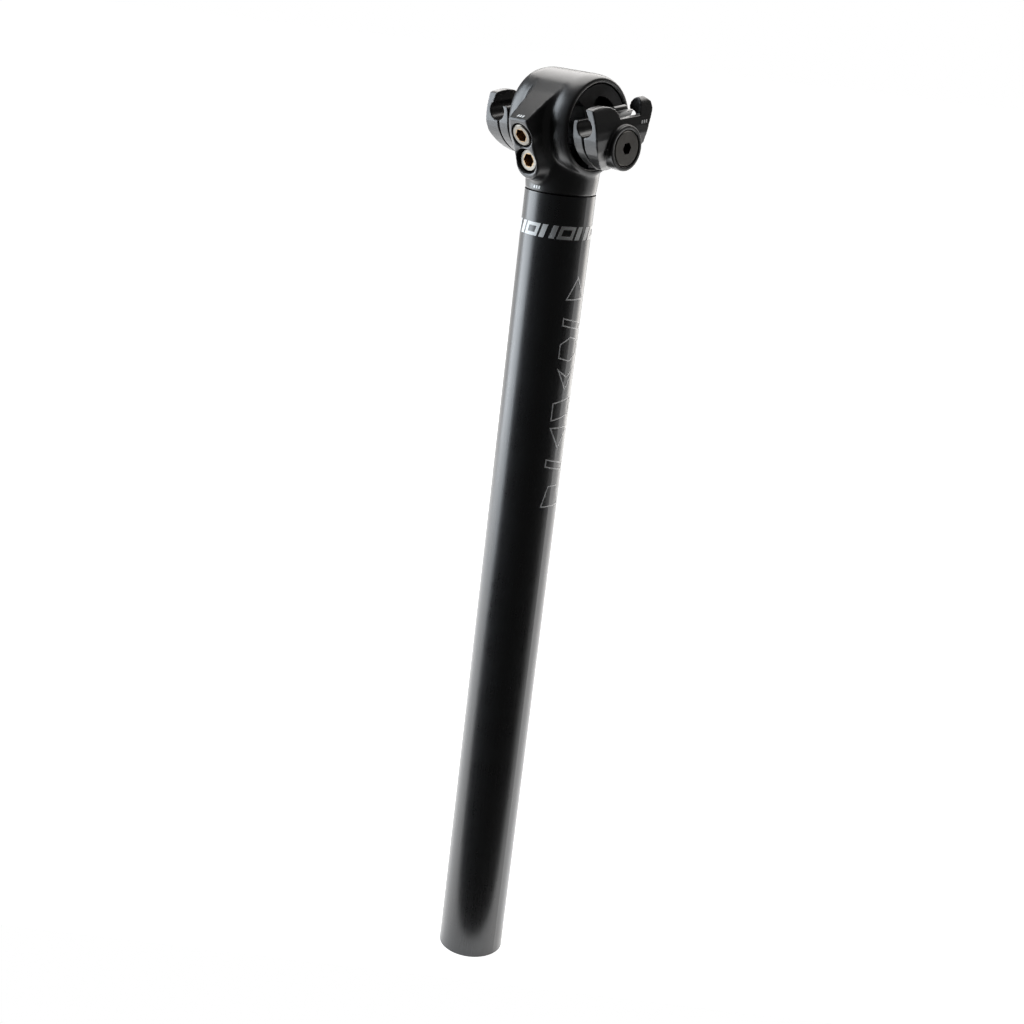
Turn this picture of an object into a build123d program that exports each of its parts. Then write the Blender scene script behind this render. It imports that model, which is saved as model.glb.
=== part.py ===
"""Bicycle seatpost with a two-screw tilt head, modelled as separate pieces.

Frame: +Z runs up the shaft, z = 0 is the joint between shaft and head, -Y is the side of
the two angle screws, and X runs along the head's cross barrel. Millimetres throughout.
"""

import os
from math import atan, cos, degrees, radians, sin, sqrt

from build123d import *

os.makedirs("parts", exist_ok=True)

# ---- driving dimensions ---------------------------------------------------------------
# shaft
SHAFT_R = 13.6  # standard 27.2 mm post
SHAFT_BORE_R = 11.6
SHAFT_LENGTH = 327.0
SPIGOT_LENGTH = 38.0
SPIGOT_R = 11.57
SPIGOT_BORE_R = 8.5
SPIGOT_BORE_RISE = 5.0
EDGE_BREAK = 0.3

# cross barrel of the head
BARREL_Z = 26.2
BARREL_HALF = 14.75
BARREL_R = 18.7
BARREL_END_R = 17.5
BARREL_FLAT_HALF = 9.0
BORE_R = 15.6
NECK_TOP_R = 14.3
NECK_TOP_Z = 12.0
NECK_ROOT = 8.0

# boss that carries the angle screws
BOSS_NOSE_Y = -28.5
BOSS_NOSE_Z = 26.4
BOSS_FOOT_Y = -19.0
BOSS_FOOT_Z = 4.4
BOSS_HOLLOW_Y = -23.3
BOSS_HOLLOW_Z = 16.0
BOSS_HALF_WIDTH = 4.7
BOSS_ROUND_Z = 10.6
BOSS_FLARE = 6.0

# angle screws: seat centre on the boss, upward slope of the axis going in
UPPER_SEAT = (0, -25.5, 20.4)
UPPER_SLOPE = 27.0
UPPER_SINK = 0.4
LOWER_SEAT = (0, -21.3, 11.4)
LOWER_SLOPE = 10.0
LOWER_SINK = 1.7
SCREW_HEAD_R = 4.15
SCREW_HEAD_T = 4.0
SCREW_R = 2.45
SCREW_HEX = 4.5
SCREW_SOCKET = 2.6
SEAT_R = 4.6
THREAD_BUSH_R = 3.7
THREAD_BUSH_BORE_R = 2.5
UPPER_SEAT_DEPTH = 6.1
LOWER_SEAT_DEPTH = 8.2
SCREW_CLEAR = 6.0
BUSH_LENGTH = 4.7
BUSH_SETBACK = 0.15
PAD_R = 2.5
PAD_T = 2.6
PAD_GAP = 0.35
PAD_DOME_R = 5.0
PAD_BORE_R = 1.55
SCREW_NOSE_R = 1.5
SCREW_NOSE_T = 1.6

# drum that turns in the barrel
DRUM_R = 15.53
DRUM_HALF = 14.0
FLAT_SETBACK = 4.55
FLAT_HALF = 3.5
POCKET_R = 8.2
POCKET_HALF = 2.8
POCKET_START = 30.0
POCKET_SWEEP = 60.0
POCKET_DEPTH = 5.5
PIN_R = 1.25
PIN_HALF = 4.0
PIN_SPOTS = ((4.6, 3.8), (4.6, -3.8))
NUT_CLEAR = 0.05

# rail cradle, set up in a plane tipped about the barrel axis
CRADLE_TIP = 8.5
RAIL_X = 22.1
RAIL_Z = 2.8
RAIL_R = 3.5
CRADLE_FRONT = -15.9
BOLT_Y = -0.8
BOLT_Z = -5.65
SLOT_CENTRE = (-136.0, -1.0)
SLOT_R = 157.4
SLOT_GAP = 0.5
JAW_FACE_X = 29.6
INNER_JAW_TOP = 5.0
NOTCH_Z = 4.9
HUB_R = 7.5
HUB_REACH = 4.0

# side clamp bolts
BOLT_HEAD_R = 6.5
BOLT_HEAD_T = 1.8
BOLT_R = 3.0
BOLT_HEX = 4.0
BOLT_TIP_X = 5.0
BOLT_SEAT_X = 27.0
BOSS_ROOT = 2.0  # how far the seat boss reaches into the jaw
BOLT_SOCKET = 3.0
BOLT_CLEAR = 0.2
HEAD_CLEAR = 0.3
SEAT_BOSS_R = 8.3
WASHER_T = 0.8
SHAFT_NUT_R = 4.0
NUT_THREAD_R = 3.05
NUT_THREAD_START = 3.0

# ---- planes and axes ------------------------------------------------------------------
TIP_COS = cos(radians(CRADLE_TIP))
TIP_SIN = sin(radians(CRADLE_TIP))
BARREL_CENTRE = (0, 0, BARREL_Z)

# world side view: local x is +Y, local y is +Z, normal +X
SIDE = Plane(origin=(0, 0, 0), x_dir=(0, 1, 0), z_dir=(1, 0, 0))
# the same view centred on the barrel, and tipped with the cradle
BARREL_SIDE = Plane(origin=BARREL_CENTRE, x_dir=(0, 1, 0), z_dir=(1, 0, 0))
CRADLE_SIDE = Plane(origin=BARREL_CENTRE, x_dir=(0, TIP_COS, TIP_SIN), z_dir=(1, 0, 0))
# front view of the cradle: local x is +X, local y is up, normal points forward
CRADLE_FRONT_VIEW = Plane(origin=BARREL_CENTRE, x_dir=(1, 0, 0), z_dir=(0, -TIP_COS, -TIP_SIN))
BARREL_FRONT_VIEW = Plane(origin=BARREL_CENTRE, x_dir=(1, 0, 0), z_dir=(0, -1, 0))
BARREL_AXIS = Axis(BARREL_CENTRE, (1, 0, 0))


def screw_plane(seat, slope, depth):
    """Plane across a screw's axis, its normal pointing in, `depth` below the seat."""
    inward = Vector(0, cos(radians(slope)), sin(radians(slope)))
    return Plane(origin=Vector(*seat) + inward * depth, x_dir=(1, 0, 0), z_dir=inward)


def foot_depth(seat, slope):
    """Depth along a screw's axis of the point that is nearest to the barrel axis."""
    return -seat[1] * cos(radians(slope)) + (BARREL_Z - seat[2]) * sin(radians(slope))


def bolt_plane(x):
    """Plane across the clamp bolts at height x on the barrel axis, normal +X."""
    bolt_y = BOLT_Y * TIP_COS - BOLT_Z * TIP_SIN
    bolt_z = BARREL_Z + BOLT_Y * TIP_SIN + BOLT_Z * TIP_COS
    return Plane(origin=(x, bolt_y, bolt_z), x_dir=(0, TIP_COS, TIP_SIN), z_dir=(1, 0, 0))


UPPER_FLAT_DEPTH = foot_depth(UPPER_SEAT, UPPER_SLOPE) - FLAT_SETBACK
LOWER_FLAT_DEPTH = foot_depth(LOWER_SEAT, LOWER_SLOPE) - FLAT_SETBACK


def save(piece, name):
    """Label a finished piece and write it under its own name."""
    piece.label = name
    export_step(piece, f"parts/{name}.step")


# ---- shaft tube -----------------------------------------------------------------------
with BuildPart() as shaft_tube:
    with BuildSketch(Plane.XY.offset(-SHAFT_LENGTH)):
        Circle(SHAFT_R)
        Circle(SHAFT_BORE_R, mode=Mode.SUBTRACT)
    extrude(amount=SHAFT_LENGTH)
    chamfer(shaft_tube.edges().filter_by(GeomType.CIRCLE).group_by(Axis.Z)[0], length=EDGE_BREAK)
save(shaft_tube.part, "shaft_tube")

# ---- head forging ---------------------------------------------------------------------
# boss: a front outline that flares towards the barrel, cut to a side outline
nose_reach = sqrt(BOSS_NOSE_Y**2 + (BOSS_NOSE_Z - BARREL_Z) ** 2)
nose_rise = degrees(atan((BOSS_NOSE_Z - BARREL_Z) / -BOSS_NOSE_Y))
tangent_turn = degrees(atan(sqrt(nose_reach**2 - BARREL_R**2) / BARREL_R))
tangent_angle = radians(180 - nose_rise - tangent_turn)
tangent_y = BARREL_R * cos(tangent_angle)
tangent_z = BARREL_Z + BARREL_R * sin(tangent_angle)

with BuildPart() as boss:
    with BuildSketch(Plane(origin=(0, -30, 0), x_dir=(-1, 0, 0), z_dir=(0, 1, 0))):
        with BuildLine():
            Line((-BOSS_HALF_WIDTH, BOSS_ROUND_Z), (-BOSS_HALF_WIDTH, 45))
            Line((-BOSS_HALF_WIDTH, 45), (BOSS_HALF_WIDTH, 45))
            Line((BOSS_HALF_WIDTH, 45), (BOSS_HALF_WIDTH, BOSS_ROUND_Z))
            ThreePointArc(
                (BOSS_HALF_WIDTH, BOSS_ROUND_Z),
                (0, BOSS_ROUND_Z - BOSS_HALF_WIDTH),
                (-BOSS_HALF_WIDTH, BOSS_ROUND_Z),
            )
        make_face()
    extrude(amount=30, taper=-BOSS_FLARE)
    with BuildSketch(SIDE):
        with BuildLine():
            ThreePointArc(
                (BOSS_NOSE_Y, BOSS_NOSE_Z),
                (BOSS_HOLLOW_Y, BOSS_HOLLOW_Z),
                (BOSS_FOOT_Y, BOSS_FOOT_Z),
            )
            Polyline(
                (BOSS_FOOT_Y, BOSS_FOOT_Z),
                (BOSS_FOOT_Y, 1.0),
                (0, 1.0),
                (0, BARREL_Z),
                (tangent_y, tangent_z),
                (BOSS_NOSE_Y, BOSS_NOSE_Z),
            )
        make_face()
    extrude(amount=14, both=True, mode=Mode.INTERSECT)

with BuildPart() as head_forging:
    with BuildSketch(BARREL_FRONT_VIEW):
        with BuildLine():
            Line((-BARREL_HALF, 0), (-BARREL_HALF, BARREL_END_R))
            TangentArc(
                (-BARREL_FLAT_HALF, BARREL_R), (-BARREL_HALF, BARREL_END_R), tangent=(-1, 0)
            )
            Line((-BARREL_FLAT_HALF, BARREL_R), (BARREL_FLAT_HALF, BARREL_R))
            TangentArc((BARREL_FLAT_HALF, BARREL_R), (BARREL_HALF, BARREL_END_R), tangent=(1, 0))
            Line((BARREL_HALF, BARREL_END_R), (BARREL_HALF, 0))
            Line((BARREL_HALF, 0), (-BARREL_HALF, 0))
        make_face()
    revolve(axis=BARREL_AXIS)
    # neck, flared from the shaft's width to the barrel's
    with BuildSketch(Plane.XY):
        Circle(SHAFT_R)
    with BuildSketch(Plane.XY.offset(NECK_TOP_Z)):
        Circle(NECK_TOP_R)
    loft()
    with BuildSketch(Plane.XY.offset(NECK_TOP_Z)):
        Circle(NECK_TOP_R)
    extrude(amount=NECK_ROOT)
    add(boss.part)
    # hollow spigot that is bonded into the shaft
    with BuildSketch(Plane.XY):
        Circle(SPIGOT_R)
    extrude(amount=-SPIGOT_LENGTH)
    with BuildSketch(Plane.XY.offset(-SPIGOT_LENGTH)):
        Circle(SPIGOT_BORE_R)
    extrude(amount=SPIGOT_LENGTH + SPIGOT_BORE_RISE, mode=Mode.SUBTRACT)
    # barrel bore for the drum
    with BuildSketch(BARREL_SIDE):
        Circle(BORE_R)
    extrude(amount=BARREL_HALF, both=True, mode=Mode.SUBTRACT)
    # stepped holes for the two angle screws
    for seat, slope, depth in (
        (UPPER_SEAT, UPPER_SLOPE, UPPER_SEAT_DEPTH),
        (LOWER_SEAT, LOWER_SLOPE, LOWER_SEAT_DEPTH),
    ):
        with BuildSketch(screw_plane(seat, slope, -SCREW_CLEAR)):
            Circle(SEAT_R)
        extrude(amount=SCREW_CLEAR + depth, mode=Mode.SUBTRACT)
        with BuildSketch(screw_plane(seat, slope, depth)):
            Circle(THREAD_BUSH_R)
        extrude(amount=2 * SCREW_CLEAR, mode=Mode.SUBTRACT)
save(head_forging.part, "head_forging")


# ---- thread bushes and angle screws ---------------------------------------------------
def thread_bush(seat, slope, depth):
    """Steel bush that the screw threads through, trimmed to the barrel's bore."""
    with BuildPart() as bush:
        with BuildSketch(screw_plane(seat, slope, depth)):
            Circle(THREAD_BUSH_R)
            Circle(THREAD_BUSH_BORE_R, mode=Mode.SUBTRACT)
        extrude(amount=BUSH_LENGTH)
        with BuildSketch(BARREL_SIDE):
            Circle(BORE_R + BUSH_SETBACK)
        extrude(amount=THREAD_BUSH_R + 1, both=True, mode=Mode.SUBTRACT)
    return bush.part


def angle_screw(seat, slope, sink, flat_depth):
    """Socket-head adjusting screw, head towards the boss, with a plain nose."""
    tip = flat_depth - PAD_GAP - PAD_T
    with BuildPart() as screw:
        with BuildSketch(screw_plane(seat, slope, sink)):
            Circle(SCREW_HEAD_R)
        extrude(amount=SCREW_HEAD_T)
        chamfer(screw.edges().filter_by(GeomType.CIRCLE), length=0.35)
        with BuildSketch(screw_plane(seat, slope, sink + SCREW_HEAD_T)):
            Circle(SCREW_R)
        extrude(amount=tip - sink - SCREW_HEAD_T)
        with BuildSketch(screw_plane(seat, slope, tip)):
            Circle(SCREW_NOSE_R)
        extrude(amount=SCREW_NOSE_T)
        with BuildSketch(screw_plane(seat, slope, sink)):
            RegularPolygon(SCREW_HEX / 2, 6, major_radius=False)
        extrude(amount=SCREW_SOCKET, mode=Mode.SUBTRACT)
    return screw.part


def thrust_pad(seat, slope, flat_depth):
    """Domed pad that swivels on a screw's nose and presses on the drum's flat."""
    with BuildPart() as pad:
        with BuildSketch(screw_plane(seat, slope, flat_depth - PAD_GAP - PAD_T)):
            Circle(PAD_R)
        extrude(amount=PAD_T)
        with Locations(screw_plane(seat, slope, flat_depth - PAD_GAP - PAD_DOME_R).origin):
            Sphere(PAD_DOME_R, mode=Mode.INTERSECT)
        with BuildSketch(screw_plane(seat, slope, flat_depth - PAD_GAP - PAD_T)):
            Circle(PAD_BORE_R)
        extrude(amount=SCREW_NOSE_T + 0.1, mode=Mode.SUBTRACT)
    return pad.part


save(thread_bush(UPPER_SEAT, UPPER_SLOPE, UPPER_SEAT_DEPTH), "upper_thread_bush")
save(thread_bush(LOWER_SEAT, LOWER_SLOPE, LOWER_SEAT_DEPTH), "lower_thread_bush")
save(angle_screw(UPPER_SEAT, UPPER_SLOPE, UPPER_SINK, UPPER_FLAT_DEPTH), "upper_angle_screw")
save(angle_screw(LOWER_SEAT, LOWER_SLOPE, LOWER_SINK, LOWER_FLAT_DEPTH), "lower_angle_screw")
save(thrust_pad(UPPER_SEAT, UPPER_SLOPE, UPPER_FLAT_DEPTH), "upper_thrust_pad")
save(thrust_pad(LOWER_SEAT, LOWER_SLOPE, LOWER_FLAT_DEPTH), "lower_thrust_pad")


# ---- drum -----------------------------------------------------------------------------
def flat_point(seat, slope, along):
    """Point on a screw's flat, `along` up the flat from the screw's axis, about the barrel."""
    depth = foot_depth(seat, slope) - FLAT_SETBACK
    lean = radians(slope)
    y = seat[1] + depth * cos(lean) - along * sin(lean)
    z = seat[2] + depth * sin(lean) + along * cos(lean) - BARREL_Z
    return y, z


def polar(radius, angle):
    """Point at a radius and an angle from +Y towards +Z, about the barrel."""
    return radius * cos(radians(angle)), radius * sin(radians(angle))


with BuildPart() as drum:
    with BuildSketch(BARREL_SIDE):
        Circle(DRUM_R)
    extrude(amount=DRUM_HALF, both=True)
    chamfer(drum.edges().filter_by(GeomType.CIRCLE), length=0.3)
    # front cut-out whose two flats face the angle screws
    with BuildSketch(BARREL_SIDE):
        Polygon(
            polar(22, 141),
            flat_point(UPPER_SEAT, UPPER_SLOPE, FLAT_HALF),
            flat_point(UPPER_SEAT, UPPER_SLOPE, -FLAT_HALF),
            (-6.4, -3.6),
            (-6.2, -7.4),
            flat_point(LOWER_SEAT, LOWER_SLOPE, FLAT_HALF - 0.2),
            flat_point(LOWER_SEAT, LOWER_SLOPE, -FLAT_HALF),
            polar(22, 262),
            polar(28, 200),
            align=None,
        )
    extrude(amount=DRUM_HALF, both=True, mode=Mode.SUBTRACT)
    # curved lightening pocket in each end
    pocket_line = CenterArc((0, 0), POCKET_R, POCKET_START, POCKET_SWEEP, mode=Mode.PRIVATE)
    for end in (1, -1):
        with BuildSketch(BARREL_SIDE.offset(end * DRUM_HALF)):
            SlotArc(pocket_line, 2 * POCKET_HALF)
        extrude(amount=-end * POCKET_DEPTH, mode=Mode.SUBTRACT)
    # bore for the cross nut, and holes for the locating pins
    with BuildSketch(bolt_plane(0)):
        Circle(SHAFT_NUT_R + NUT_CLEAR)
    extrude(amount=DRUM_HALF, both=True, mode=Mode.SUBTRACT)
    with BuildSketch(bolt_plane(0)):
        with Locations(*PIN_SPOTS):
            Circle(PIN_R + NUT_CLEAR)
    extrude(amount=DRUM_HALF, both=True, mode=Mode.SUBTRACT)
save(drum.part, "drum")

# ---- cross nut through the drum -------------------------------------------------------
with BuildPart() as cross_nut:
    with BuildSketch(bolt_plane(0)):
        Circle(SHAFT_NUT_R)
    extrude(amount=DRUM_HALF - 0.1, both=True)
    for side in (1, -1):
        with BuildSketch(bolt_plane(side * NUT_THREAD_START)):
            Circle(NUT_THREAD_R)
        extrude(amount=side * DRUM_HALF, mode=Mode.SUBTRACT)
save(cross_nut.part, "cross_nut")


# ---- rail jaws ------------------------------------------------------------------------
def slot_point(radius, z):
    """Point at height z on the outer side of a circle about the slot's centre."""
    return SLOT_CENTRE[0] + sqrt(radius**2 - (z - SLOT_CENTRE[1]) ** 2), z


def side_outline(top_points):
    """Side outline of a jaw: shared rounded front, foot and tail, with its own top edge."""
    return [
        (CRADLE_FRONT, -1.2),
        (-15.5, -3.4),
        (-14.9, -5.2),
        (-14.0, -6.9),
        (-12.8, -8.6),
        (-11.3, -10.3),
        (-9.5, -11.9),
        (-7.5, -13.3),
        (-5.5, -14.1),
        (-3.4, -14.4),
        (-1.2, -14.1),
        (1.0, -12.9),
        (4.0, -9.9),
        (9.0, -6.8),
        (10.7, -5.0),
        (13.4, 1.5),
        *top_points,
    ]


def inner_jaw():
    """Right inner jaw: a cradle for the rail's inner half on a round hub."""
    slot_r = SLOT_R - SLOT_GAP / 2
    with BuildPart() as jaw:
        with BuildSketch(CRADLE_FRONT_VIEW):
            with BuildLine():
                Polyline(
                    slot_point(slot_r, -0.6),
                    (RAIL_X, RAIL_Z),
                    (20.6, INNER_JAW_TOP),
                    (17.3, INNER_JAW_TOP),
                    (16.6, INNER_JAW_TOP - 0.7),
                    (16.4, 0.5),
                    (16.7, -4.5),
                    (17.2, -9.0),
                    (17.8, -12.6),
                    (18.6, -14.0),
                    (19.4, -14.5),
                    slot_point(slot_r, -14.5),
                )
                ThreePointArc(
                    slot_point(slot_r, -14.5), slot_point(slot_r, -7.0), slot_point(slot_r, -0.6)
                )
            make_face()
        extrude(amount=17, both=True)
        # rear tab that curls up beside the rail
        with BuildSketch(CRADLE_FRONT_VIEW):
            Polygon(
                (17.0, INNER_JAW_TOP - 1),
                (20.3, INNER_JAW_TOP - 1),
                (20.4, 6.0),
                (19.9, 7.2),
                (19.0, 7.6),
                (17.6, 7.2),
                align=None,
            )
        extrude(amount=17, both=True)
        with BuildSketch(CRADLE_SIDE):
            Polygon(
                *side_outline(
                    [(14.6, INNER_JAW_TOP), (10.4, INNER_JAW_TOP), (9.6, 7.8), (2.9, 7.8)]
                    + [(2.2, INNER_JAW_TOP), (CRADLE_FRONT, INNER_JAW_TOP)]
                ),
                align=None,
            )
        extrude(amount=40, both=True, mode=Mode.INTERSECT)
        # hub that seats on the drum
        with BuildSketch(bolt_plane(DRUM_HALF)):
            Circle(HUB_R)
        extrude(amount=HUB_REACH)
        with BuildSketch(CRADLE_FRONT_VIEW):
            with Locations((RAIL_X, RAIL_Z)):
                Circle(RAIL_R)
        extrude(amount=20, both=True, mode=Mode.SUBTRACT)
        with BuildSketch(bolt_plane(DRUM_HALF)):
            Circle(BOLT_R + BOLT_CLEAR)
        extrude(amount=20, mode=Mode.SUBTRACT)
        with BuildSketch(bolt_plane(DRUM_HALF)):
            with Locations(*PIN_SPOTS):
                Circle(PIN_R + NUT_CLEAR)
        extrude(amount=PIN_HALF, mode=Mode.SUBTRACT)
    return jaw.part


def outer_jaw():
    """Right outer jaw: hooks over the rail front and rear, with the bolt's seat."""
    slot_r = SLOT_R + SLOT_GAP / 2
    with BuildPart() as jaw:
        with BuildSketch(CRADLE_FRONT_VIEW):
            with BuildLine():
                ThreePointArc(
                    slot_point(slot_r, -0.6), slot_point(slot_r, -7.0), slot_point(slot_r, -14.5)
                )
                Polyline(
                    slot_point(slot_r, -14.5),
                    (22.4, -14.5),
                    (24.4, -12.4),
                    (26.2, -9.4),
                    (27.8, -5.6),
                    (28.2, -1.4),
                    (28.0, 1.6),
                    (27.5, 4.2),
                    (26.8, 6.5),
                    (26.2, 8.6),
                )
                TangentArc((26.2, 8.6), (23.9, 10.9), tangent=(-0.6, 1.8))
                Polyline((23.9, 10.9), (22.4, 10.2), (21.3, 8.9), (21.1, 7.6), (21.4, 6.5))
                Polyline((21.4, 6.5), (RAIL_X, RAIL_Z), slot_point(slot_r, -0.6))
            make_face()
        extrude(amount=17, both=True)
        # the front hook's tip is shorter than the rear one's
        with BuildSketch(CRADLE_FRONT_VIEW):
            Polygon((20.0, 5.5), (20.0, 12.0), (22.3, 12.0), (22.4, 9.0), (24.1, 5.5), align=None)
        extrude(amount=17, mode=Mode.SUBTRACT)
        with BuildSketch(CRADLE_SIDE):
            Polygon(
                *side_outline(
                    [(16.4, 6.4), (16.1, 9.0), (13.6, 11.0), (10.8, 10.7), (8.8, NOTCH_Z)]
                    + [(-2.2, NOTCH_Z), (-2.6, 6.8), (-4.0, 8.3), (-6.2, 9.4), (-9.4, 10.0)]
                    + [(-12.6, 10.0), (-14.8, 9.7), (CRADLE_FRONT, 9.2)]
                ),
                align=None,
            )
        extrude(amount=40, both=True, mode=Mode.INTERSECT)
        # round seat for the bolt head, standing out of the sloping upper face
        with BuildSketch(bolt_plane(BOLT_SEAT_X - BOSS_ROOT)):
            Circle(SEAT_BOSS_R)
        extrude(amount=JAW_FACE_X - BOLT_SEAT_X + BOSS_ROOT)
        with BuildSketch(CRADLE_FRONT_VIEW):
            with Locations((RAIL_X, RAIL_Z)):
                Circle(RAIL_R)
        extrude(amount=20, both=True, mode=Mode.SUBTRACT)
        with BuildSketch(bolt_plane(BOLT_SEAT_X)):
            Circle(BOLT_HEAD_R + HEAD_CLEAR)
        extrude(amount=10, mode=Mode.SUBTRACT)
        with BuildSketch(bolt_plane(JAW_FACE_X)):
            Circle(BOLT_R + BOLT_CLEAR)
        extrude(amount=-12, mode=Mode.SUBTRACT)
    return jaw.part


# ---- clamp bolts, washers and pins ----------------------------------------------------
def clamp_bolt():
    """Right clamp bolt: wide flat head with a hex socket, shank into the cross nut."""
    under_head = BOLT_SEAT_X + WASHER_T
    with BuildPart() as bolt:
        with BuildSketch(bolt_plane(under_head)):
            Circle(BOLT_HEAD_R)
        extrude(amount=BOLT_HEAD_T)
        chamfer(bolt.edges().filter_by(GeomType.CIRCLE).sort_by(Axis.X)[-1:], length=0.3)
        with BuildSketch(bolt_plane(under_head)):
            Circle(BOLT_R)
        extrude(amount=BOLT_TIP_X - under_head)
        with BuildSketch(bolt_plane(under_head + BOLT_HEAD_T)):
            RegularPolygon(BOLT_HEX / 2, 6, major_radius=False)
        extrude(amount=-BOLT_SOCKET, mode=Mode.SUBTRACT)
    return bolt.part


def clamp_washer():
    """Right plain washer under the clamp bolt's head."""
    with BuildPart() as washer:
        with BuildSketch(bolt_plane(BOLT_SEAT_X)):
            Circle(BOLT_HEAD_R - 0.2)
            Circle(BOLT_R + BOLT_CLEAR, mode=Mode.SUBTRACT)
        extrude(amount=WASHER_T)
    return washer.part


def locating_pins():
    """Right pair of dowel pins that key the inner jaw to the drum."""
    with BuildPart() as pins:
        with BuildSketch(bolt_plane(DRUM_HALF)):
            with Locations(*PIN_SPOTS):
                Circle(PIN_R)
        extrude(amount=PIN_HALF - 0.2, both=True)
    return pins.part


for make, name in (
    (inner_jaw, "inner_jaw"),
    (outer_jaw, "outer_jaw"),
    (clamp_bolt, "clamp_bolt"),
    (clamp_washer, "clamp_washer"),
    (locating_pins, "locating_pins"),
):
    right = make()
    left = mirror(right, about=Plane.YZ)
    save(right, f"{name}_right")
    save(left, f"{name}_left")
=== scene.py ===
"""Visible model of a bicycle seatpost, built around its packed mechanical frame.

Laid out as an add-on and run as a script: each operator makes or finishes one group of
pieces, and main() calls them in order. Lengths are metres in the frame's own axes: +Z runs
up the shaft, z = 0 is the seam below the head, X runs along the head's cross barrel, and
-Y is the side of the two angle screws.
"""

from math import cos, pi, radians, sin

import bpy
from bpy.props import FloatProperty, FloatVectorProperty, IntProperty, PointerProperty
from mathutils import Matrix, Vector


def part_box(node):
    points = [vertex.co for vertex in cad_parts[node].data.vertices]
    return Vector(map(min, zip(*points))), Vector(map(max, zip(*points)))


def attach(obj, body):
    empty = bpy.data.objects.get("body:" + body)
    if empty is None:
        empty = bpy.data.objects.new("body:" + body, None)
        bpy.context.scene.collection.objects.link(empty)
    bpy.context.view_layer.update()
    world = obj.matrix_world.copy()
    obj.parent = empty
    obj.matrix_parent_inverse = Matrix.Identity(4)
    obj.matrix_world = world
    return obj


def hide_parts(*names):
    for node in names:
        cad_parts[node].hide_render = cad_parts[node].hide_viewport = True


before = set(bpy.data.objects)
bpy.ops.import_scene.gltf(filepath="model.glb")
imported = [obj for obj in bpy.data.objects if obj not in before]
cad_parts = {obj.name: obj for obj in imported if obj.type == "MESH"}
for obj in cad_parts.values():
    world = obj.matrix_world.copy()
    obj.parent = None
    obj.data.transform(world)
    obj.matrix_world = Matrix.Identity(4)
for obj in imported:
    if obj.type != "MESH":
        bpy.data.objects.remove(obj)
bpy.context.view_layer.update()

bl_info = {
    "name": "Two-screw seatpost",
    "version": (1, 0, 0),
    "blender": (4, 5, 0),
    "location": "View3D > Sidebar > Seatpost",
    "description": "Builds the visible pieces and finishes of a seatpost with a tilting rail clamp",
    "category": "Object",
}

# ---- places taken from the frame ------------------------------------------------------
SHAFT_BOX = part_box("shaft_tube")
DRUM_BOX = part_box("drum")
SHAFT_R = SHAFT_BOX[1].x
BARREL_CENTRE = Vector((0.0, 0.0, (DRUM_BOX[0].z + DRUM_BOX[1].z) / 2))
CRADLE_TIP = radians(8.5)


def middle(node):
    """Centre of a node's box at rest."""
    low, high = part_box(node)
    return (low + high) / 2


BOLT_CENTRE = middle("clamp_bolt_right")
UPPER_AXIS = Vector((0.0, cos(radians(27.0)), sin(radians(27.0))))
LOWER_AXIS = Vector((0.0, cos(radians(10.0)), sin(radians(10.0))))
UPPER_SEAT = Vector((0.0, -0.0255, 0.0204))
LOWER_SEAT = Vector((0.0, -0.0213, 0.0114))
COLLAR_INNER = 0.00458
COLLAR_OUTER = 0.0056
COLLAR_DEPTH = 0.0056
COLLAR_SINK = 0.0004
COLLAR_SIDES = 64


# ---- settings -------------------------------------------------------------------------
class SeatpostShapes(bpy.types.PropertyGroup):
    """Sizes that shape the head shell and the jaws."""

    blend_reach: FloatProperty(
        name="Blend reach",
        description="How far the hollow corners of the head are filled",
        default=0.0016,
        unit="LENGTH",
    )
    blend_steps: IntProperty(
        name="Blend steps", description="Moves that make up one blend", default=2
    )
    blend_voxel: FloatProperty(
        name="Blend voxel",
        description="Mesh size while the head is blended",
        default=0.00040,
        precision=6,
        unit="LENGTH",
    )
    head_voxel: FloatProperty(
        name="Head voxel",
        description="Mesh size of the finished head",
        default=0.00034,
        precision=6,
        unit="LENGTH",
    )
    jaw_voxel: FloatProperty(
        name="Jaw voxel",
        description="Mesh size of the finished jaws",
        default=0.00023,
        precision=6,
        unit="LENGTH",
    )
    film: FloatProperty(
        name="Print film",
        description="Thickness of the printed marks",
        default=0.00003,
        precision=6,
        unit="LENGTH",
    )
    stroke: FloatProperty(
        name="Outline stroke",
        description="Line width of the outlined side marks",
        default=0.0005,
        precision=5,
        unit="LENGTH",
    )
    groove_depth: FloatProperty(
        name="Groove depth",
        description="How deep the hollow beside each bolt seat goes",
        default=0.0009,
        precision=5,
        unit="LENGTH",
    )


class SeatpostPaint(bpy.types.PropertyGroup):
    """Colours of the finishes."""

    black: FloatVectorProperty(
        name="Anodised black",
        description="Base colour of the shaft",
        default=(0.012, 0.0125, 0.014),
        subtype="COLOR",
    )
    forged: FloatVectorProperty(
        name="Forged black",
        description="Base colour of the head and jaws",
        default=(0.014, 0.014, 0.0145),
        subtype="COLOR",
    )
    mark: FloatVectorProperty(
        name="Printed white",
        description="Ink of the marks on the shaft",
        default=(0.95, 0.96, 0.96),
        subtype="COLOR",
    )


# ---- modelling helpers ----------------------------------------------------------------
MERGE_DISTANCE = 1e-6
SHARP_ANGLE = 30.0
SWELL_SMOOTHING = 2
HEAD_SMOOTHING = 3
JAW_SMOOTHING = 5


def clear_selection():
    """Leaves object mode with nothing selected."""
    if bpy.context.mode != "OBJECT":
        bpy.ops.object.mode_set(mode="OBJECT")
    bpy.ops.object.select_all(action="DESELECT")


def make_active(piece):
    """Selects one piece alone and makes it active."""
    clear_selection()
    piece.select_set(True)
    bpy.context.view_layer.objects.active = piece


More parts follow.
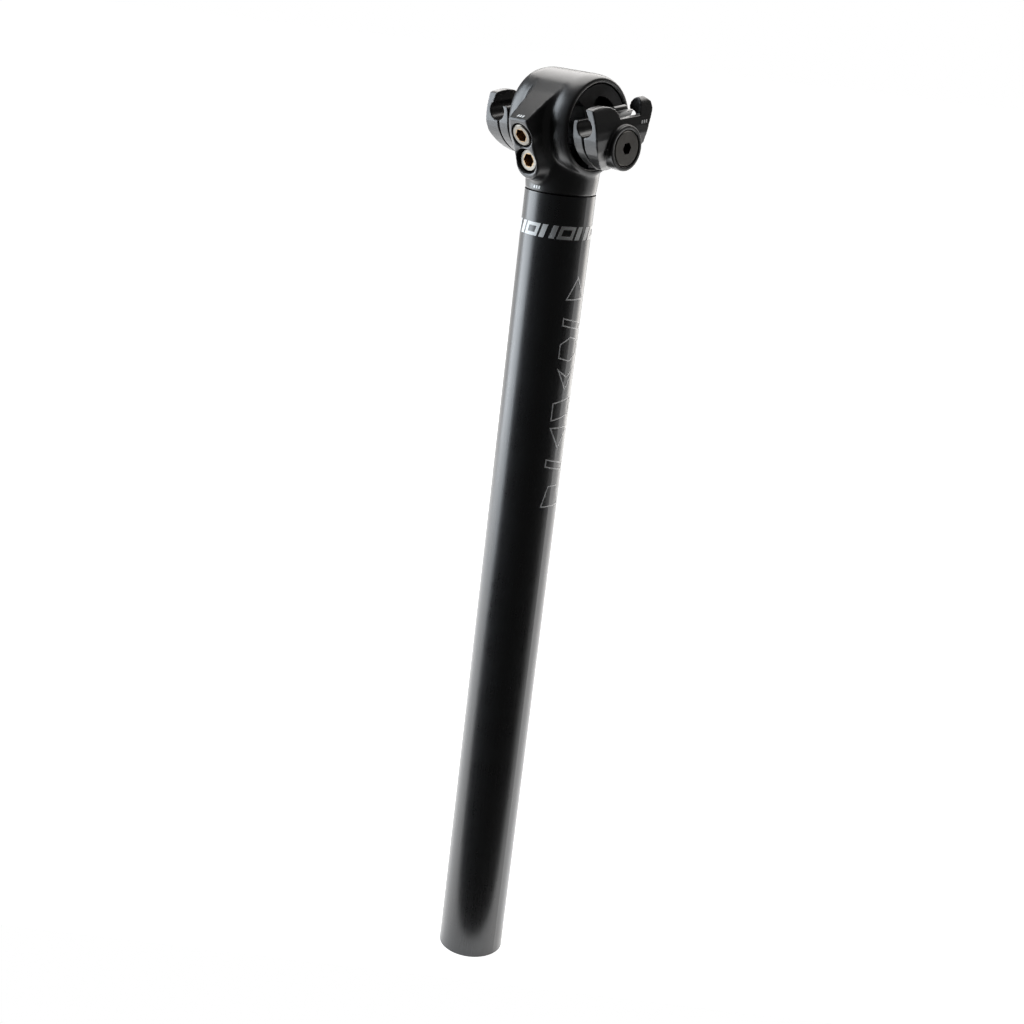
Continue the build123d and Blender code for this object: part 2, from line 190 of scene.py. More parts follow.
def start(adder, name, **sizes):
    """Adds a primitive and names it; returns it as the active object."""
    clear_selection()
    adder(**sizes)
    piece = bpy.context.active_object
    piece.name = name
    piece.data.name = name
    return piece


def settle(piece):
    """Puts a piece's place into its mesh, so that its object sits at the origin."""
    make_active(piece)
    bpy.ops.object.transform_apply(location=True, rotation=True, scale=True)


def apply_modifier(piece, kind, **settings):
    """Adds a modifier, sets it up and applies it."""
    make_active(piece)
    modifier = piece.modifiers.new(kind.title(), kind)
    for name, value in settings.items():
        setattr(modifier, name, value)
    bpy.ops.object.modifier_apply(modifier=modifier.name)


def edit(piece, *steps):
    """Runs each step in edit mode with the whole mesh selected first."""
    make_active(piece)
    bpy.ops.object.mode_set(mode="EDIT")
    bpy.ops.mesh.select_mode(type="VERT")
    for step in steps:
        bpy.ops.mesh.select_all(action="SELECT")
        step()
    bpy.ops.object.mode_set(mode="OBJECT")


def copy_of_node(node, name):
    """A merged copy of a CAD node's mesh as a new piece."""
    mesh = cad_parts[node].data.copy()
    mesh.name = name
    mesh.materials.clear()
    piece = bpy.data.objects.new(name, mesh)
    bpy.context.scene.collection.objects.link(piece)
    edit(piece, lambda: bpy.ops.mesh.remove_doubles(threshold=MERGE_DISTANCE))
    return piece


def join(piece, *others):
    """Joins other pieces' meshes into one piece."""
    make_active(piece)
    for other in others:
        other.select_set(True)
    bpy.context.view_layer.objects.active = piece
    bpy.ops.object.join()


def cut_below(piece, height, keep_above):
    """Bisects a piece at a height and caps the cut."""
    edit(
        piece,
        lambda: bpy.ops.mesh.bisect(
            plane_co=(0, 0, height),
            plane_no=(0, 0, 1),
            use_fill=True,
            clear_inner=keep_above,
            clear_outer=not keep_above,
        ),
    )


def remesh(piece, voxel, smooth_passes):
    """Renews the mesh on a fine grid and relaxes it."""
    apply_modifier(piece, "REMESH", mode="VOXEL", voxel_size=voxel, adaptivity=0.0)
    apply_modifier(piece, "SMOOTH", factor=0.5, iterations=smooth_passes)


def swell(piece, reach, steps, voxel):
    """Moves the skin out by `reach`, or in if it is negative, renewing it at each step."""
    for _ in range(steps):
        apply_modifier(piece, "DISPLACE", strength=reach / steps, mid_level=0.0)
        remesh(piece, voxel, SWELL_SMOOTHING)


def mirrored(piece, name):
    """A copy of a piece with its own mesh, mirrored to the other end of the barrel."""
    twin = piece.copy()
    twin.data = piece.data.copy()
    twin.name = name
    twin.data.name = name
    bpy.context.scene.collection.objects.link(twin)
    twin.data.transform(Matrix.Scale(-1.0, 4, (1.0, 0.0, 0.0)))
    edit(twin, bpy.ops.mesh.flip_normals)
    return twin


def smooth(piece, angle=None):
    """Shades a piece smooth, or smooth up to an angle in degrees."""
    make_active(piece)
    if angle is None:
        bpy.ops.object.shade_smooth()
    else:
        bpy.ops.object.shade_smooth_by_angle(angle=radians(angle))


def dress(piece, body, finish, slot, *nodes):
    """Gives a new piece its finish and body, and hides the nodes that it stands for; the slot
    argument is not used.
    """
    piece.data.materials.clear()
    piece.data.materials.append(finish)
    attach(piece, body)
    if nodes:
        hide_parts(*nodes)


# ---- finishes -------------------------------------------------------------------------
class Field:
    """A number that varies over a surface; expressions on it add Math nodes."""

    def __init__(self, finish, socket):
        self.finish = finish
        self.socket = socket

    def math(self, operation, *parts):
        """A Math node on this value and others."""
        inputs = dict(enumerate(parts))
        return self.finish.node("ShaderNodeMath", {"operation": operation}, inputs)

    def __add__(self, other):
        return self.math("ADD", self, other)

    def __sub__(self, other):
        return self.math("SUBTRACT", self, other)

    def __mul__(self, other):
        return self.math("MULTIPLY", self, other)

    def __truediv__(self, other):
        return self.math("DIVIDE", self, other)

    def __radd__(self, other):
        return self.math("ADD", other, self)

    def __rsub__(self, other):
        return self.math("SUBTRACT", other, self)

    def __rmul__(self, other):
        return self.math("MULTIPLY", other, self)

    def sine(self):
        return self.math("SINE", self)

    def above(self, edge, softness):
        """0 below an edge, 1 above it, with a soft step between."""
        return self.finish.node(
            "ShaderNodeMapRange",
            {"interpolation_type": "SMOOTHSTEP"},
            {0: self, 1: edge - softness / 2, 2: edge + softness / 2, 3: 0.0, 4: 1.0},
        )

    def below(self, edge, softness):
        """1 below an edge, 0 above it."""
        return 1.0 - self.above(edge, softness)


class Finish:
    """A procedural material: adds nodes and feeds the shader's inputs."""

    def __init__(self, name):
        self.material = bpy.data.materials.new(name)
        self.material.use_nodes = True
        self.tree = self.material.node_tree
        self.shader = self.tree.nodes["Principled BSDF"]
        self.place = self.node("ShaderNodeTexCoord", {}, {}, "Object")

    def node(self, kind, settings, inputs, output=0):
        """Adds a node, sets it up, fills its inputs, and returns one output."""
        made = self.tree.nodes.new(kind)
        for name, value in settings.items():
            setattr(made, name, value)
        self.fill(made, inputs)
        return Field(self, made.outputs[output])

    def fill(self, made, inputs):
        """Sets or links the inputs of a node."""
        for name, value in inputs.items():
            if isinstance(value, Field):
                self.tree.links.new(value.socket, made.inputs[name])
            else:
                made.inputs[name].default_value = value

    def constants(self, **values):
        """Sets plain numbers on the shader's own sockets, named with underscores."""
        for name, value in values.items():
            title = name.replace("_", " ").title().replace("Ior", "IOR")
            self.shader.inputs[title].default_value = value

    def surface(self, **fields):
        """Links what varies over the surface to the shader."""
        for name, value in fields.items():
            title = name.replace("_", " ").title()
            self.fill(self.shader, {title: value})

    def stretched(self, scale):
        """Object coordinates scaled along each axis."""
        return self.node(
            "ShaderNodeVectorMath", {"operation": "MULTIPLY"}, {0: self.place, 1: scale}
        )

    def noise(self, size, detail=2.0, roughness=0.5, stretch=(1.0, 1.0, 1.0)):
        """Noise whose features are about `size` metres across."""
        return self.node(
            "ShaderNodeTexNoise",
            {},
            {
                "Vector": self.stretched(stretch),
                "Scale": 1.0 / size,
                "Detail": detail,
                "Roughness": roughness,
            },
        )

    def cells(self, size):
        """Distance to the nearest of scattered points about `size` metres apart."""
        return self.node(
            "ShaderNodeTexVoronoi", {}, {"Vector": self.place, "Scale": 1.0 / size}
        )

    def mix(self, factor, first, second):
        """A colour mixed between two, by a field."""
        made = self.node(
            "ShaderNodeMix", {"data_type": "RGBA"}, {"Factor": factor}, "Result"
        )
        mixer = made.socket.node
        colours = [s for s in mixer.inputs if s.type == "RGBA"]
        for socket, colour in zip(colours, (first, second)):
            if isinstance(colour, Field):
                self.tree.links.new(colour.socket, socket)
            else:
                socket.default_value = (*colour, 1.0)
        result = [s for s in mixer.outputs if s.type == "RGBA"][0]
        return Field(self, result)

    def turned(self, centre, axis):
        """Distance from an axis, and height along it from a centre."""
        offset = self.node(
            "ShaderNodeVectorMath",
            {"operation": "SUBTRACT"},
            {0: self.place, 1: tuple(centre)},
        )
        height = self.node(
            "ShaderNodeVectorMath",
            {"operation": "DOT_PRODUCT"},
            {0: offset, 1: tuple(axis)},
            "Value",
        )
        along = self.node(
            "ShaderNodeVectorMath",
            {"operation": "SCALE"},
            {0: tuple(axis), "Scale": height},
        )
        across = self.node(
            "ShaderNodeVectorMath", {"operation": "SUBTRACT"}, {0: offset, 1: along}
        )
        radius = self.node(
            "ShaderNodeVectorMath", {"operation": "LENGTH"}, {0: across}, "Value"
        )
        return radius, height

    def raise_by(self, height, distance, strength=1.0):
        """Feeds a height through a Bump node to the shader's normal."""
        bump = self.node(
            "ShaderNodeBump", {}, {"Height": height, "Distance": distance, "Strength": strength}
        )
        self.surface(normal=bump)


def anodised(name, colour, roughness, grain, streak, lap):
    """Satin black anodised aluminium: a fine blasted grain under a thin clear oxide."""
    finish = Finish(name)
    cloud = finish.noise(0.012, 3.0, 0.55)
    grains = finish.noise(grain, 3.0, 0.6)
    drawn = finish.noise(0.0009, 2.0, 0.5, streak)
    specks = finish.cells(0.0011).below(0.09, 0.10)
    shade = finish.mix(
        cloud.above(0.5, 0.5), tuple(c * 0.82 for c in colour), tuple(c * 1.22 for c in colour)
    )
    shade = finish.mix(specks * 0.22, shade, (0.055, 0.056, 0.058))
    finish.surface(
        base_color=shade,
        roughness=roughness + (cloud - 0.5) * 0.10 + (grains - 0.5) * 0.12 + (drawn - 0.5) * lap,
    )
    finish.raise_by(grains + drawn * 0.6, 0.000012)
    finish.constants(metallic=0.0, ior=1.62, coat_weight=0.25, coat_roughness=0.22)
    return finish


def turned_metal(name, colour, centre, axis, roughness, pitch=0.00022, metallic=1.0):
    """Lathe-turned metal: fine rings round an axis, a little uneven."""
    finish = Finish(name)
    radius, height = finish.turned(centre, axis)
    wander = finish.noise(0.0035, 2.0)
    grains = finish.noise(0.00025, 2.0)
    rings = ((radius + height) * (2 * pi / pitch) + wander * 3.0).sine()
    shade = finish.mix(
        wander.above(0.5, 0.6),
        tuple(c * 0.84 for c in colour),
        tuple(min(1.0, c * 1.1) for c in colour),
    )
    finish.surface(
        roughness=roughness + rings * 0.05 + (grains - 0.5) * 0.16,
        base_color=shade,
    )
    finish.raise_by(rings * 0.5 + grains, 0.000010)
    finish.constants(metallic=metallic)
    return finish, radius, shade


FINISHES = {}
SOCKET_R = 0.0026
SOCKET_EDGE = 0.0002


def make_finishes():
    """Makes every material once."""
    paint = bpy.context.scene.seatpost_paint
    FINISHES["shaft_black"] = anodised(
        "anodised_tube", tuple(paint.black), 0.30, 0.00030, (1.0, 1.0, 0.03), 0.10
    ).material
    FINISHES["head_black"] = anodised(
        "anodised_forging", tuple(paint.forged), 0.36, 0.00034, (1.0, 1.0, 1.0), 0.04
    ).material
    FINISHES["jaw_black"] = anodised(
        "anodised_jaw", tuple(paint.forged), 0.34, 0.00030, (1.0, 1.0, 1.0), 0.04
    ).material

    across = Vector((1.0, 0.0, 0.0))
    FINISHES["drum_grey"] = turned_metal(
        "turned_drum", (0.030, 0.030, 0.031), BARREL_CENTRE, across, 0.40, metallic=0.75
    )[0].material
    FINISHES["bolt_dark"] = turned_metal(
        "dark_machined_bolt", (0.10, 0.096, 0.090), BOLT_CENTRE, across, 0.38, 0.00030
    )[0].material

    for key, seat, axis in (
        ("upper", UPPER_SEAT, UPPER_AXIS),
        ("lower", LOWER_SEAT, LOWER_AXIS),
    ):
        finish, radius, shade = turned_metal(
            f"plated_screw_{key}", (0.22, 0.205, 0.18), seat, axis, 0.33, 0.00026
        )
        socket = radius.below(SOCKET_R, SOCKET_EDGE)
        finish.surface(base_color=finish.mix(socket, shade, (0.30, 0.20, 0.11)))
        FINISHES[f"{key}_screw"] = finish.material
        FINISHES[f"{key}_brass"] = turned_metal(
            f"turned_brass_{key}", (0.72, 0.52, 0.26), seat, axis, 0.30
        )[0].material
        FINISHES[f"{key}_bush"] = turned_metal(
            f"turned_bush_{key}", (0.42, 0.42, 0.43), seat, axis, 0.35
        )[0].material

    for key, colour, roughness in (
        ("nut_steel", (0.45, 0.45, 0.46), 0.32),
        ("pin_steel", (0.50, 0.50, 0.51), 0.25),
        ("washer_steel", (0.40, 0.40, 0.41), 0.36),
    ):
        FINISHES[key] = turned_metal(key, colour, BOLT_CENTRE, across, roughness)[0].material

    ink = Finish("printed_white")
    cloud = ink.noise(0.0012, 3.0, 0.6)
    worn = ink.noise(0.00035, 3.0, 0.6)
    ink.surface(
        base_color=ink.mix(
            cloud.above(0.5, 0.5), tuple(c * 0.93 for c in paint.mark), tuple(paint.mark)
        ),
        roughness=0.42 + (worn - 0.5) * 0.2,
    )
    ink.raise_by(worn, 0.00001)
    FINISHES["printed_white"] = ink.material


NODE_FINISHES = {
    "shaft_tube": "shaft_black",
    "drum": "drum_grey",
    "clamp_bolt_right": "bolt_dark",
    "clamp_bolt_left": "bolt_dark",
    "clamp_washer_right": "washer_steel",
    "clamp_washer_left": "washer_steel",
    "cross_nut": "nut_steel",
    "locating_pins_right": "pin_steel",
    "locating_pins_left": "pin_steel",
    "upper_angle_screw": "upper_screw",
    "lower_angle_screw": "lower_screw",
    "upper_thrust_pad": "upper_brass",
    "lower_thrust_pad": "lower_brass",
    "upper_thread_bush": "upper_bush",
    "lower_thread_bush": "lower_bush",
}


class SEATPOST_OT_finishes(bpy.types.Operator):
    """Make the materials and put them on the machined pieces."""

    bl_idname = "seatpost.finishes"
    bl_label = "Finishes"

    def execute(self, context):
        make_finishes()
        for node, key in NODE_FINISHES.items():
            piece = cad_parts[node]
            if not piece.material_slots:
                raise RuntimeError(f"{node} has no material slot to finish")
            for slot in piece.material_slots:
                slot.material = FINISHES[key]
        return {"FINISHED"}


# ---- head -----------------------------------------------------------------------------
def seat_collar(seat, axis):
    """A thin sleeve that thickens the wall round one screw's seat."""
    sleeve = start(
        bpy.ops.mesh.primitive_cylinder_add,
        "seat_collar",
        vertices=COLLAR_SIDES,
        radius=COLLAR_OUTER,
        depth=COLLAR_DEPTH,
        end_fill_type="NOTHING",
    )
    sleeve.rotation_euler = axis.to_track_quat("Z", "Y").to_euler()
    sleeve.location = seat + axis * (COLLAR_SINK + COLLAR_DEPTH / 2)
    settle(sleeve)
    apply_modifier(sleeve, "SOLIDIFY", thickness=COLLAR_OUTER - COLLAR_INNER, offset=-1.0)
    edit(sleeve, lambda: bpy.ops.mesh.normals_make_consistent(inside=False))
    return sleeve


class SEATPOST_OT_head(bpy.types.Operator):
    """Model the forged head with its soft blends, and the spigot below it."""

    bl_idname = "seatpost.head"
    bl_label = "Head forging"

    def execute(self, context):
        shapes = context.scene.seatpost_shapes
        shell = copy_of_node("head_forging", "head_shell")
        cut_below(shell, 0.0, keep_above=True)
        collar = seat_collar(UPPER_SEAT, UPPER_AXIS)
        apply_modifier(shell, "BOOLEAN", object=collar, operation="UNION", solver="EXACT")
        bpy.data.objects.remove(collar)
        swell(shell, shapes.blend_reach, shapes.blend_steps, shapes.blend_voxel)
        swell(shell, -shapes.blend_reach, shapes.blend_steps, shapes.blend_voxel)
        remesh(shell, shapes.head_voxel, HEAD_SMOOTHING)
        smooth(shell)
        dress(shell, "post", FINISHES["head_black"], "head_black", "head_forging")

        spigot = copy_of_node("head_forging", "head_spigot")
        cut_below(spigot, 0.0, keep_above=False)
        smooth(spigot, SHARP_ANGLE)
        dress(spigot, "post", FINISHES["head_black"], "head_black", "head_forging")
        return {"FINISHED"}


# ---- jaws -----------------------------------------------------------------------------
GROOVE_INNER = 0.0084
GROOVE_OUTER = 0.0102
GROOVE_FACE = 0.0282
GROOVE_START = radians(176.0)
GROOVE_END = radians(226.0)
GROOVE_POINTS = 24
GROOVE_REACH = 0.006


def cut_groove(jaw, depth):
    """Hollows out a crescent below and in front of the bolt's seat."""
    turns = [
        GROOVE_START + (GROOVE_END - GROOVE_START) * step / (GROOVE_POINTS - 1)
        for step in range(GROOVE_POINTS)
    ]
    outline = [(GROOVE_OUTER, turn) for turn in turns]
    outline += [(GROOVE_INNER, turn) for turn in reversed(turns)]
    cutter = start(
        bpy.ops.mesh.primitive_circle_add, "groove", vertices=len(outline), fill_type="NGON"
    )
    for vertex, (radius, turn) in zip(cutter.data.vertices, outline):
        vertex.co = (
            GROOVE_FACE - depth,
            BOLT_CENTRE.y + radius * cos(turn + CRADLE_TIP),
            BOLT_CENTRE.z + radius * sin(turn + CRADLE_TIP),
        )
    edit(
        cutter,
        lambda: bpy.ops.mesh.extrude_region_move(
            TRANSFORM_OT_translate={"value": (GROOVE_REACH, 0.0, 0.0)}
        ),
        lambda: bpy.ops.mesh.normals_make_consistent(inside=False),
    )
    apply_modifier(jaw, "BOOLEAN", object=cutter, operation="DIFFERENCE", solver="EXACT")
    bpy.data.objects.remove(cutter)


class SEATPOST_OT_jaws(bpy.types.Operator):
    """Model the four rail jaws with rounded edges."""

    bl_idname = "seatpost.jaws"
    bl_label = "Rail jaws"

    def execute(self, context):
        shapes = context.scene.seatpost_shapes
        for kind, bodies in (
            ("outer_jaw", ("right_jaw", "left_jaw")),
            ("inner_jaw", ("cradle", "cradle")),
        ):
            right = copy_of_node(f"{kind}_right", f"{kind}_shell_right")
            if kind == "outer_jaw":
                cut_groove(right, shapes.groove_depth)
            remesh(right, shapes.jaw_voxel, JAW_SMOOTHING)
            smooth(right)
            left = mirrored(right, f"{kind}_shell_left")
            for piece, side, body in zip((right, left), ("right", "left"), bodies):
                dress(piece, body, FINISHES["jaw_black"], "jaw_black", f"{kind}_{side}")
        return {"FINISHED"}


# ---- printed marks --------------------------------------------------------------------
BAND_HEIGHT = -0.0136
BAND_TALL = 0.0050
BAND_BLOCKS = 12
BAND_LEAN = 0.30
BLOCK_HALF = 0.0031
BAR_GAP_HALF = 0.0010
FRAME_STROKE = 0.0013
MARK_CUTS = 5
SIDE_TOP = -0.0285
SIDE_PITCH = 0.0119
SIDE_TURN = radians(93.0)
SIDE_SHAPES = (
    ((-5.2, -4.6), (5.2, -4.6), (0.0, 4.6)),
    ((-5.2, -2.6), (5.2, -4.9), (5.2, -1.7), (-5.2, 0.6)),
    ((-5.2, -3.4), (0.4, -5.0), (5.2, -2.2), (5.2, 3.4), (-0.4, 5.0), (-5.2, 2.2)),
    ((-5.2, 4.6), (0.0, -4.6), (5.2, 4.6), (0.0, 1.2)),
    ((-5.2, -4.8), (5.2, -2.6), (5.2, 4.8), (-5.2, 2.6)),
    ((-5.2, 4.6), (5.2, 4.6), (0.0, -4.6)),
    ((-5.2, 0.4), (5.2, -2.0), (5.2, 1.4), (-5.2, 3.8)),
    ((-5.2, -4.4), (5.2, -4.4), (2.6, 4.4), (-2.6, 4.4)),
)


def flat_shape(name, points):
    """A flat plate in the XZ plane with the given outline, in metres."""
    plate = start(
        bpy.ops.mesh.primitive_circle_add, name, vertices=len(points), fill_type="NGON"
    )
    for vertex, (x, z) in zip(plate.data.vertices, points):
        vertex.co = (x, 0.0, z)
    return plate


def hollow(plate, stroke):
    """Turns a flat plate into an outline of the given stroke."""
    make_active(plate)
    bpy.ops.object.mode_set(mode="EDIT")
    bpy.ops.mesh.select_mode(type="FACE")
    bpy.ops.mesh.select_all(action="SELECT")
    bpy.ops.mesh.inset(thickness=stroke, depth=0.0)
    bpy.ops.mesh.delete(type="FACE")
    bpy.ops.object.mode_set(mode="OBJECT")


def wrap(plate, turn):
    """Gives a flat plate its film thickness and bends it round the shaft at an angle."""
    shapes = bpy.context.scene.seatpost_shapes
    edit(plate, bpy.ops.mesh.quads_convert_to_tris)
    edit(plate, lambda: bpy.ops.mesh.subdivide(number_cuts=MARK_CUTS))
    apply_modifier(plate, "SOLIDIFY", thickness=shapes.film, offset=0.0)
    across = [vertex.co.x for vertex in plate.data.vertices]
    radius = SHAFT_R + shapes.film
    apply_modifier(
        plate,
        "SIMPLE_DEFORM",
        deform_method="BEND",
        deform_axis="Z",
        angle=(max(across) - min(across)) / radius,
    )
    plate.location = (0.0, -radius, 0.0)
    settle(plate)
    plate.rotation_euler = (0.0, 0.0, turn)
    settle(plate)


def merge_marks(name, plates):
    """Joins the plates of one print into a piece that rides on the post."""
    piece = plates[0]
    join(piece, *plates[1:])
    piece.name = name
    piece.data.name = name
    edit(piece, lambda: bpy.ops.mesh.normals_make_consistent(inside=False))
    smooth(piece, SHARP_ANGLE)
    dress(piece, "post", FINISHES["printed_white"], "shaft_black")


class SEATPOST_OT_ring_band(bpy.types.Operator):
    """Print the band of slanted blocks round the shaft."""

    bl_idname = "seatpost.ring_band"
    bl_label = "Ring band"

    def execute(self, context):
        half = BAND_TALL / 2
        lean = BAND_LEAN * BAND_TALL
        plates = []
        for index in range(BAND_BLOCKS):
            turn = 2 * pi * index / BAND_BLOCKS
            if index % 2:
                spans = ((-BLOCK_HALF, -BAR_GAP_HALF), (BAR_GAP_HALF, BLOCK_HALF))
            else:
                spans = ((-BLOCK_HALF, BLOCK_HALF),)
            for low, high in spans:
                corners = (
                    (low - lean / 2, BAND_HEIGHT - half),
                    (high - lean / 2, BAND_HEIGHT - half),
                    (high + lean / 2, BAND_HEIGHT + half),
                    (low + lean / 2, BAND_HEIGHT + half),
                )
                plate = flat_shape("band_block", corners)
                if len(spans) == 1:
                    hollow(plate, FRAME_STROKE)
                wrap(plate, turn)
                plates.append(plate)
        merge_marks("ring_band", plates)
        return {"FINISHED"}


class SEATPOST_OT_side_marks(bpy.types.Operator):
    """Print the outlined shapes down the side of the shaft."""

    bl_idname = "seatpost.side_marks"
    bl_label = "Side marks"

    def execute(self, context):
        stroke = context.scene.seatpost_shapes.stroke
        plates = []
        for index, outline in enumerate(SIDE_SHAPES):
            height = SIDE_TOP - (index + 0.5) * SIDE_PITCH
            points = [(x / 1000, height + z / 1000) for x, z in outline]
            plate = flat_shape("side_shape", points)
            hollow(plate, stroke)
            wrap(plate, SIDE_TURN)
            plates.append(plate)
        merge_marks("side_marks", plates)
        return {"FINISHED"}


ALONG_BARREL = (1.0, 0.0, 0.0)
UP_SHAFT = (0.0, 0.0, 1.0)
UP_BOSS = (0.0, 0.35, 0.94)
UP_JAW = (0.0, -0.148, 0.989)
TICK_SHIFTS = (-0.0012, 0.0, 0.0012)
TICK_WIDE = 0.00055
TICK_NARROW = 0.00020
TICK_HALF = 0.0006
TICK_CUTS = 3
# name, piece they lie on, body, centre, direction of the row, direction of the strokes
TICKS = (
    ("boss_ticks", "head_shell", "post", (0.0003, -0.0268, 0.0277), ALONG_BARREL, UP_BOSS),
    ("neck_ticks", "head_shell", "post", (0.0001, -0.01375, 0.0019), ALONG_BARREL, UP_SHAFT),
    (
        "jaw_ticks",
        "outer_jaw_shell_right",
        "right_jaw",
        (0.0280, 0.0100, 0.0302),
        (0.0, 0.989, 0.148),
        UP_JAW,
    ),
    (
        "jaw_ticks_left",
        "outer_jaw_shell_left",
        "left_jaw",
        (-0.0280, 0.0100, 0.0302),
        (0.0, -0.989, -0.148),
        UP_JAW,
    ),
)


class SEATPOST_OT_ticks(bpy.types.Operator):
    """Print the rows of small slanted ticks beside the screws and bolts."""

    bl_idname = "seatpost.ticks"
    bl_label = "Torque ticks"

    def execute(self, context):
        film = context.scene.seatpost_shapes.film
        for name, target, body, centre, along, upright in TICKS:
            plates = []
            for shift in TICK_SHIFTS:
                corners = (
                    (shift - TICK_WIDE, -TICK_HALF),
                    (shift + TICK_NARROW, -TICK_HALF),
                    (shift + TICK_WIDE, TICK_HALF),
                    (shift - TICK_NARROW, TICK_HALF),
                )
                plate = flat_shape("tick", corners)
                edit(plate, lambda: bpy.ops.mesh.subdivide(number_cuts=TICK_CUTS))
                plates.append(plate)
            piece = plates[0]
            join(piece, *plates[1:])
            piece.name = name
            piece.data.name = name
            facing = Vector(along).cross(Vector(upright))
            turn = Matrix((Vector(along), -facing, Vector(upright))).transposed().to_4x4()
            piece.matrix_world = Matrix.Translation(centre) @ turn
            settle(piece)
            apply_modifier(
                piece,
                "SHRINKWRAP",
                target=bpy.data.objects[target],
                wrap_method="NEAREST_SURFACEPOINT",
                wrap_mode="ABOVE_SURFACE",
                offset=film * 1.5,
            )
            apply_modifier(piece, "SOLIDIFY", thickness=film, offset=0.0)
            edit(piece, lambda: bpy.ops.mesh.normals_make_consistent(inside=False))
            smooth(piece, SHARP_ANGLE)
            slot = "head_black" if body == "post" else "jaw_black"
            dress(piece, body, FINISHES["printed_white"], slot)
        return {"FINISHED"}


# ---- stage ----------------------------------------------------------------------------
FLOOR_SIZE = 8.0
FLOOR_FRONT = 0.03
FLOOR_DROP = 0.0002
WHITE = (1.0, 1.0, 1.0, 1.0)
ROOM_LEVEL = 0.05
LAMP_TARGET = (0.0, 0.0, 0.02)
CAMERA_AZIMUTH = 41.91
CAMERA_RISE = 17.91
CAMERA_ROLL = 6.76
CAMERA_PLACE = (0.42827, -0.48305, 0.07960)
CAMERA_LENS = 59.29


def lamp(name, size, power, colour, place, target):
    """A soft square light aimed at a point."""
    data = bpy.data.lights.new(name, "AREA")
    data.shape = "RECTANGLE"
    data.size, data.size_y = size
    data.energy = power
    data.color = colour
    light = bpy.data.objects.new(name, data)
    bpy.context.scene.collection.objects.link(light)
    light.location = place
    light.rotation_euler = (Vector(target) - Vector(place)).to_track_quat("-Z", "Y").to_euler()
    light.visible_camera = False


def around(azimuth, distance, height):
    """A point round the post: azimuth from the camera's side, counted to its right."""
    turn = radians(CAMERA_AZIMUTH + azimuth)
    return Vector((sin(turn) * distance, -cos(turn) * distance, height))


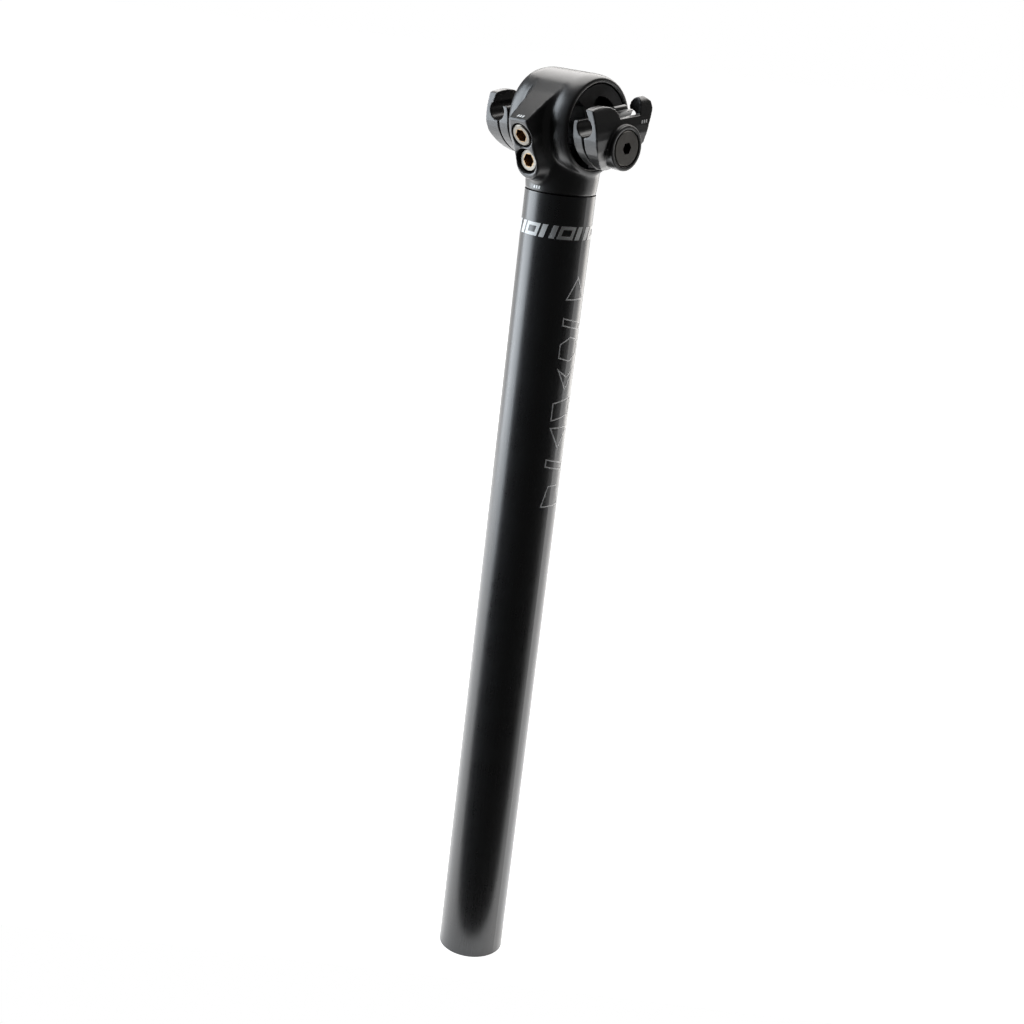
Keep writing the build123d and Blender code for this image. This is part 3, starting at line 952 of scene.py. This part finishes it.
class SEATPOST_OT_stage(bpy.types.Operator):
    """Set the floor, the lights and the camera."""

    bl_idname = "seatpost.stage"
    bl_label = "Stage"

    def execute(self, context):
        scene = context.scene
        scene.view_settings.view_transform = "Standard"
        floor = start(
            bpy.ops.mesh.primitive_plane_add,
            "floor",
            size=FLOOR_SIZE,
            location=(
                *around(180.0, FLOOR_SIZE / 2 - FLOOR_FRONT, 0.0).xy,
                SHAFT_BOX[0].z - FLOOR_DROP,
            ),
            rotation=(0.0, 0.0, radians(CAMERA_AZIMUTH)),
        )
        ground = Finish("pale_floor")
        ground.constants(base_color=(0.86, 0.86, 0.86, 1.0), roughness=0.9)
        ground.constants(emission_color=WHITE, emission_strength=1.0)
        floor.data.materials.append(ground.material)

        world = bpy.data.worlds.new("studio")
        scene.world = world
        world.use_nodes = True
        sky = world.node_tree.nodes["Background"]
        sky.inputs["Color"].default_value = WHITE
        path = world.node_tree.nodes.new("ShaderNodeLightPath")
        level = world.node_tree.nodes.new("ShaderNodeMapRange")
        level.inputs["To Min"].default_value = ROOM_LEVEL
        level.inputs["To Max"].default_value = 1.0
        world.node_tree.links.new(path.outputs["Is Camera Ray"], level.inputs["Value"])
        world.node_tree.links.new(level.outputs[0], sky.inputs["Strength"])

        for name, size, power, colour, place in (
            ("top_softbox", (1.3, 1.3), 17.0, (1.0, 0.98, 0.96), around(165.0, 0.6, 0.78)),
            ("left_softbox", (0.6, 1.1), 10.0, (0.86, 0.93, 1.0), around(-98.0, 0.75, 0.1)),
            ("right_softbox", (0.4, 1.0), 2.5, (1.0, 0.95, 0.9), around(140.0, 0.8, 0.1)),
        ):
            lamp(name, size, power, colour, place, LAMP_TARGET)

        lens = bpy.data.cameras.new("camera")
        lens.lens = CAMERA_LENS
        camera = bpy.data.objects.new("camera", lens)
        scene.collection.objects.link(camera)
        azimuth, rise, roll = map(radians, (CAMERA_AZIMUTH, CAMERA_RISE, CAMERA_ROLL))
        back = Vector((sin(azimuth) * cos(rise), -cos(azimuth) * cos(rise), sin(rise)))
        right = Vector((0.0, 0.0, 1.0)).cross(back).normalized()
        up = back.cross(right)
        tilted = cos(roll) * right + sin(roll) * up
        upright = cos(roll) * up - sin(roll) * right
        camera.matrix_world = (
            Matrix.Translation(CAMERA_PLACE)
            @ Matrix((tilted, upright, back)).transposed().to_4x4()
        )
        scene.camera = camera
        return {"FINISHED"}


class SEATPOST_PT_panel(bpy.types.Panel):
    """Sidebar list of the seatpost's operators."""

    bl_idname = "SEATPOST_PT_panel"
    bl_label = "Seatpost"
    bl_space_type = "VIEW_3D"
    bl_region_type = "UI"
    bl_category = "Seatpost"

    def draw(self, context):
        for operator in OPERATORS:
            self.layout.operator(operator.bl_idname)


SETTINGS = {"seatpost_shapes": SeatpostShapes, "seatpost_paint": SeatpostPaint}
OPERATORS = (
    SEATPOST_OT_finishes,
    SEATPOST_OT_head,
    SEATPOST_OT_jaws,
    SEATPOST_OT_ring_band,
    SEATPOST_OT_side_marks,
    SEATPOST_OT_ticks,
    SEATPOST_OT_stage,
)
CLASSES = (*SETTINGS.values(), *OPERATORS, SEATPOST_PT_panel)


def register():
    for each in CLASSES:
        bpy.utils.register_class(each)
    for name, group in SETTINGS.items():
        setattr(bpy.types.Scene, name, PointerProperty(type=group))


def unregister():
    for name in SETTINGS:
        delattr(bpy.types.Scene, name)
    for each in reversed(CLASSES):
        bpy.utils.unregister_class(each)


def main():
    """Builds every piece in order."""
    register()
    bpy.ops.seatpost.finishes()
    bpy.ops.seatpost.head()
    bpy.ops.seatpost.jaws()
    bpy.ops.seatpost.ring_band()
    bpy.ops.seatpost.side_marks()
    bpy.ops.seatpost.ticks()
    bpy.ops.seatpost.stage()


if __name__ == "__main__":
    main()
